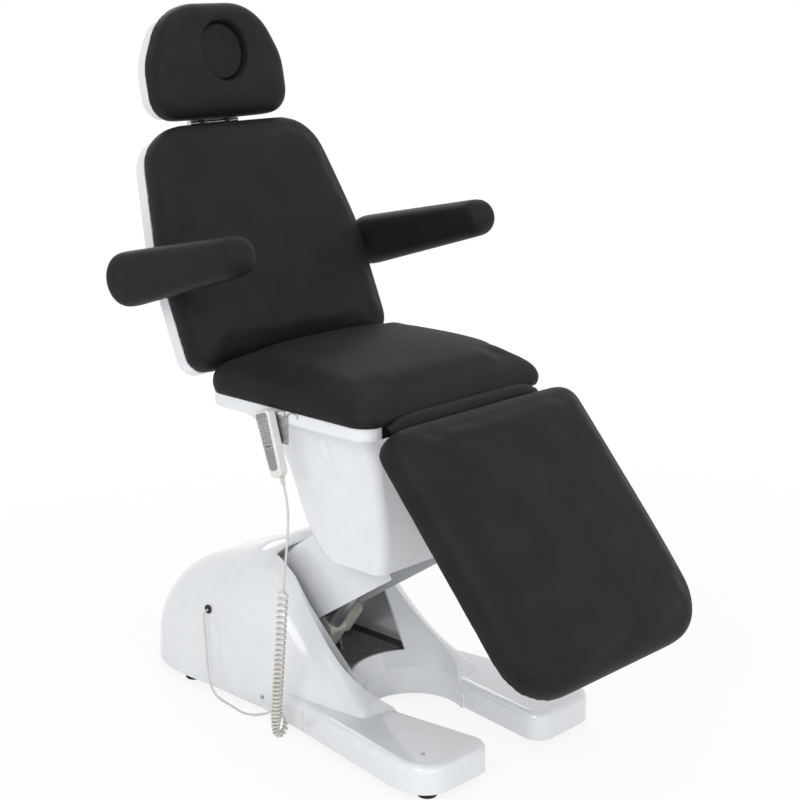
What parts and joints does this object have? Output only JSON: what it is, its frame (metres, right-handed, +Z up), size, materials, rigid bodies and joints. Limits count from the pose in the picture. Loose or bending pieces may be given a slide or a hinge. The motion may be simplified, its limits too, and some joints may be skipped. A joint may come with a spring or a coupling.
{
  "type": "massage table",
  "caption": "Electric massage table: white moulded base with a lift arm, black padded seat, reclining back with folding arm rests, head rest with face hole, leg rest, corded handset.",
  "frame": {"origin": "On the floor under the middle of the box around the table, raised, with the back up and the leg rest down", "axes": "+X to the foot end, +Y to the sitter's left, +Z up"},
  "size_m": [1.4276, 0.852, 1.6502],
  "materials": {
    "white_shell": "gloss",
    "black_leather": "satin",
    "painted_frame": "satin",
    "zinc_plate": "satin",
    "polished_steel": "gloss",
    "bronze": "satin",
    "plywood": "matte",
    "dust_cover": "matte",
    "black_rubber": "matte",
    "motor_plastic": "matte",
    "tube_metal": "satin",
    "handset_plastic": "satin",
    "panel_plastic": "satin",
    "key_plastic": "satin",
    "cord_plastic": "satin"
  },
  "bodies": {
    "base": {"base_cover": "white_shell", "base_frame": "painted_frame", "rubber_feet": "black_rubber", "cover_screws": "zinc_plate", "actuator_deck": "zinc_plate", "pivot_towers": "zinc_plate", "lower_shafts": "polished_steel", "control_box": "motor_plastic", "cord_grommet": "black_rubber", "handset_cord_lead": "cord_plastic", "handset_cord_coil": "cord_plastic", "handset_cord_tail": "cord_plastic"},
    "lift_arm_body": {"lift_arm": "painted_frame", "arm_bushes": "bronze", "arm_cover": "white_shell", "lift_rod_pin": "polished_steel"},
    "level_link_body": {"level_link": "painted_frame"},
    "lift_motor_body": {"lift_motor": "motor_plastic", "lift_tube": "tube_metal"},
    "lift_rod_body": {"lift_rod": "polished_steel"},
    "seat": {"seat_frame": "painted_frame", "seat_pan": "white_shell", "seat_board": "plywood", "seat_cushion": "black_leather", "hopper_cover": "white_shell", "upper_shafts": "polished_steel", "hinge_pins": "polished_steel", "back_actuator": "motor_plastic", "leg_actuator": "motor_plastic", "handset_hook": "zinc_plate", "handset_shell": "handset_plastic", "handset_panel": "panel_plastic", "handset_gland": "black_rubber"},
    "backrest": {"back_frame": "painted_frame", "back_shell": "white_shell", "back_board": "plywood", "back_cushion": "black_leather", "rest_bosses": "painted_frame"},
    "back_rod_body": {"back_rod": "polished_steel"},
    "legrest": {"leg_frame": "painted_frame", "leg_board": "dust_cover", "leg_cushion": "black_leather"},
    "leg_rod_body": {"leg_rod": "polished_steel"},
    "rest_left": {"rest_core_left": "painted_frame", "rest_pad_left": "black_leather"},
    "rest_right": {"rest_core_right": "painted_frame", "rest_pad_right": "black_leather"},
    "head_post": {"head_bracket": "polished_steel"},
    "head": {"head_frame": "painted_frame", "head_shell": "white_shell", "head_board": "plywood", "head_cushion": "black_leather"},
    "plug": {"face_plug": "black_leather"},
    "key_body_1": {"key_1": "key_plastic"},
    "key_body_2": {"key_2": "key_plastic"},
    "key_body_3": {"key_3": "key_plastic"},
    "key_body_4": {"key_4": "key_plastic"},
    "key_body_5": {"key_5": "key_plastic"},
    "key_body_6": {"key_6": "key_plastic"}
  },
  "joints": [
    {"name": "lift", "type": "hinge", "parent": "base", "child": "lift_arm_body", "pos_m": [-0.32276, 0, 0.214], "axis": [0, -1, 0], "range_deg": [-29, 0], "deforming": ["handset_cord_coil", "handset_cord_lead"]},
    {"name": "link_swing", "type": "hinge", "parent": "base", "child": "level_link_body", "pos_m": [-0.35588, 0, 0.26403], "axis": [0, -1, 0], "range_deg": [-30, 1]},
    {"name": "seat_level", "type": "hinge", "parent": "lift_arm_body", "child": "seat", "pos_m": [0.10252, 0, 0.49549], "axis": [0, -1, 0], "range_deg": [-1, 30]},
    {"name": "lift_motor_swing", "type": "hinge", "parent": "base", "child": "lift_motor_body", "pos_m": [-0.21676, 0, 0.13], "axis": [0, -1, 0], "range_deg": [-33.1, 1]},
    {"name": "lift_rod_slide", "type": "slide", "parent": "lift_motor_body", "child": "lift_rod_body", "axis": [0.5828, 0, 0.8126], "range_m": [-0.0698, 0.001]},
    {"name": "back", "type": "hinge", "parent": "seat", "child": "backrest", "pos_m": [-0.32076, 0, 0.796], "axis": [0, 1, 0], "range_deg": [-66.5, 0]},
    {"name": "back_rod_slide", "type": "slide", "parent": "seat", "child": "back_rod_body", "axis": [-1, 0, 0], "range_m": [-0.1331, 0.001]},
    {"name": "leg", "type": "hinge", "parent": "seat", "child": "legrest", "pos_m": [0.23324, 0, 0.78], "axis": [0, -1, 0], "range_deg": [0, 48.6]},
    {"name": "leg_rod_slide", "type": "slide", "parent": "seat", "child": "leg_rod_body", "axis": [1, 0, 0], "range_m": [-0.001, 0.0923]},
    {"name": "arm_rest_left", "type": "hinge", "parent": "backrest", "child": "rest_left", "pos_m": [-0.45458, 0.365, 1.04859], "axis": [0, -1, 0], "range_deg": [0, 95]},
    {"name": "arm_rest_right", "type": "hinge", "parent": "backrest", "child": "rest_right", "pos_m": [-0.45458, -0.365, 1.04859], "axis": [0, -1, 0], "range_deg": [0, 95]},
    {"name": "head_slide", "type": "slide", "parent": "backrest", "child": "head_post", "axis": [-0.3987, 0, 0.9171], "range_m": [0, 0.06]},
    {"name": "head_tilt", "type": "hinge", "parent": "head_post", "child": "head", "pos_m": [-0.58848, 0, 1.36657], "axis": [0, 1, 0], "range_deg": [-30, 0]},
    {"name": "face_plug_pull", "type": "slide", "parent": "head", "child": "plug", "axis": [0.9803, 0, 0.1977], "range_m": [0, 0.09]},
    {"name": "key_1", "type": "slide", "parent": "seat", "child": "key_body_1", "axis": [0, 1, 0], "range_m": [0, 0.0008], "stiffness_N_per_m": 1500},
    {"name": "key_2", "type": "slide", "parent": "seat", "child": "key_body_2", "axis": [0, 1, 0], "range_m": [0, 0.0008], "stiffness_N_per_m": 1500},
    {"name": "key_3", "type": "slide", "parent": "seat", "child": "key_body_3", "axis": [0, 1, 0], "range_m": [0, 0.0008], "stiffness_N_per_m": 1500},
    {"name": "key_4", "type": "slide", "parent": "seat", "child": "key_body_4", "axis": [0, 1, 0], "range_m": [0, 0.0008], "stiffness_N_per_m": 1500},
    {"name": "key_5", "type": "slide", "parent": "seat", "child": "key_body_5", "axis": [0, 1, 0], "range_m": [0, 0.0008], "stiffness_N_per_m": 1500},
    {"name": "key_6", "type": "slide", "parent": "seat", "child": "key_body_6", "axis": [0, 1, 0], "range_m": [0, 0.0008], "stiffness_N_per_m": 1500}
  ],
  "couplings": [
    {"joint": "link_swing", "follows": "lift", "ratio": 1},
    {"joint": "seat_level", "follows": "lift", "ratio": -1},
    {"joint": "lift_motor_swing", "follows": "lift", "ratio": 1.0891},
    {"joint": "lift_rod_slide", "follows": "lift", "m_per_rad": 0.13398},
    {"joint": "back_rod_slide", "follows": "back", "m_per_rad": 0.11298},
    {"joint": "leg_rod_slide", "follows": "leg", "m_per_rad": 0.10646}
  ]
}
